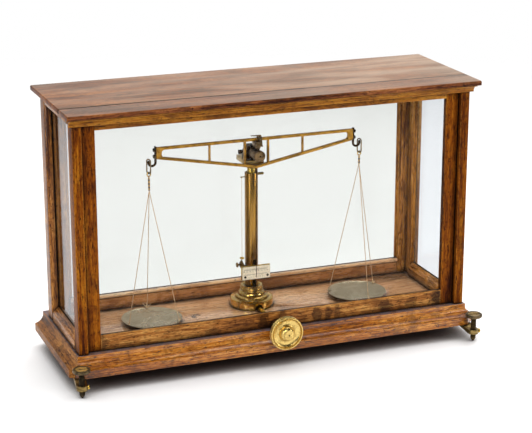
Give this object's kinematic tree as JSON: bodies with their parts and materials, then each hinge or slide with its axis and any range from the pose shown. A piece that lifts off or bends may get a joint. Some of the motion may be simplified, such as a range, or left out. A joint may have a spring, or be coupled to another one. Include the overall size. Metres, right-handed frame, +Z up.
{
  "type": "cased precision balance",
  "caption": "Brass beam balance with thread-hung pans in a glazed wooden case, with a lift-out front sash, an arrest knob in front and levelling feet.",
  "frame": {"origin": "the middle of the whole object's footprint on the surface that it stands on", "axes": "+Z up, the front with the arrest knob faces -Y, +X to the right as seen from the front"},
  "size_m": [0.4446, 0.167, 0.2797],
  "materials": {
    "case_wood": "old varnish, darker at edges",
    "top_wood": "worn, dull varnish",
    "floor_wood": "satin varnish",
    "underside_wood": "bare, aged",
    "pane_glass": "clear, old",
    "bright_brass": "lacquered, bright",
    "polished_brass": "polished",
    "lacquered_brass": "dull lacquer",
    "aged_brass": "tarnished",
    "dark_steel": "oxidised",
    "pan_metal": "dull grey tarnish",
    "ivory": "smooth, matt",
    "silk": "twisted thread"
  },
  "bodies": {
    "case": {"base_board": "underside_wood", "floor_panel": "floor_wood", "plinth_front": "case_wood", "plinth_left": "case_wood", "plinth_right": "case_wood", "plinth_rear": "case_wood", "post_front_left": "case_wood", "post_front_right": "case_wood", "post_rear_left": "case_wood", "post_rear_right": "case_wood", "side_rails": "case_wood", "rear_rails": "case_wood", "front_head_rail": "case_wood", "crown_moulding": "case_wood", "top_board": "top_wood", "top_front_strip": "top_wood", "glass_sides": "pane_glass", "glass_rear": "pane_glass", "glazing_beads": "case_wood", "foot_arm_left": "aged_brass", "foot_arm_right": "aged_brass", "case_fasteners": "aged_brass", "rear_foot": "aged_brass", "bushes": "aged_brass", "column_base": "polished_brass", "column_tube": "lacquered_brass", "column_pins": "aged_brass", "plumb_bracket": "lacquered_brass"},
    "sash": {"sash_stiles": "case_wood", "sash_top_rail": "case_wood", "sash_bottom_rail": "case_wood", "sash_glass": "pane_glass"},
    "arrest": {"arrest_knob": "bright_brass", "arrest_shaft": "dark_steel", "lift_cam": "dark_steel"},
    "lift": {"lifting_rod": "lacquered_brass", "bearing_bracket": "aged_brass", "bearing_cylinder": "dark_steel", "bearing_clamp_screw": "dark_steel", "scale_backplate": "lacquered_brass", "scale_plate": "ivory", "scale_screws": "dark_steel"},
    "beam_group": {"beam": "lacquered_brass", "centre_knife": "dark_steel", "pointer": "dark_steel", "end_hooks": "dark_steel", "end_screws": "dark_steel", "beam_clip": "lacquered_brass"},
    "vane": {"zero_vane": "lacquered_brass"},
    "hanger_left": {"link_left": "dark_steel"},
    "hanger_right": {"link_right": "dark_steel"},
    "pan_group_left": {"threads_left": "silk", "pan_left": "pan_metal"},
    "pan_group_right": {"threads_right": "silk", "pan_right": "pan_metal"},
    "levelling_left": {"levelling_screw_left": "aged_brass"},
    "levelling_right": {"levelling_screw_right": "aged_brass"},
    "plumb": {"plumb_line": "silk", "plumb_bob": "lacquered_brass"},
    "thumbscrew": {"plumb_thumbscrew": "aged_brass"}
  },
  "joints": [
    {"name": "sash_lift", "type": "slide", "parent": "case", "child": "sash", "axis": [0, 0, 1], "range_m": [0, 0.006]},
    {"name": "arrest_turn", "type": "hinge", "parent": "case", "child": "arrest", "pos_m": [0, 0.0065, 0.0386], "axis": [0, 1, 0], "range_deg": [0, 90]},
    {"name": "beam_lift", "type": "slide", "parent": "case", "child": "lift", "axis": [0, 0, 1], "range_m": [0, 0.004]},
    {"name": "beam_swing", "type": "hinge", "parent": "lift", "child": "beam_group", "pos_m": [0, 0.0096, 0.2086], "axis": [0, 1, 0], "range_deg": [-0.8, 0.8]},
    {"name": "vane_turn", "type": "hinge", "parent": "beam_group", "child": "vane", "pos_m": [0.0034, 0.0096, 0.2246], "axis": [0, 0, 1], "range_deg": [-60, 60]},
    {"name": "hanger_left_swing", "type": "hinge", "parent": "beam_group", "child": "hanger_left", "pos_m": [-0.1156, 0.0096, 0.209], "axis": [0, 1, 0], "range_deg": [-3.3, 3.3]},
    {"name": "pan_left_swing", "type": "hinge", "parent": "hanger_left", "child": "pan_group_left", "pos_m": [-0.1156, 0.0096, 0.1926], "axis": [1, 0, 0], "range_deg": [-3.3, 3.3]},
    {"name": "levelling_left_turn", "type": "hinge", "parent": "case", "child": "levelling_left", "pos_m": [-0.2135, -0.0745, 0.015], "axis": [0, 0, 1], "range_deg": [-1080, 1080]},
    {"name": "hanger_right_swing", "type": "hinge", "parent": "beam_group", "child": "hanger_right", "pos_m": [0.1156, 0.0096, 0.209], "axis": [0, 1, 0], "range_deg": [-3.3, 3.3]},
    {"name": "pan_right_swing", "type": "hinge", "parent": "hanger_right", "child": "pan_group_right", "pos_m": [0.1156, 0.0096, 0.1926], "axis": [1, 0, 0], "range_deg": [-3.3, 3.3]},
    {"name": "levelling_right_turn", "type": "hinge", "parent": "case", "child": "levelling_right", "pos_m": [0.2135, -0.0745, 0.015], "axis": [0, 0, 1], "range_deg": [-1080, 1080]},
    {"name": "plumb_swing", "type": "hinge", "parent": "case", "child": "plumb", "pos_m": [-0.0106, 0.0247, 0.1762], "axis": [1, 0, 0], "range_deg": [-2, 2]},
    {"name": "thumbscrew_turn", "type": "hinge", "parent": "case", "child": "thumbscrew", "pos_m": [-0.0136, 0.0247, 0.0815], "axis": [1, 0, 0], "range_deg": [-360, 360]}
  ],
  "couplings": [
    {"joint": "arrest_turn", "follows": "beam_lift", "rad_per_m": 392.69}
  ]
}
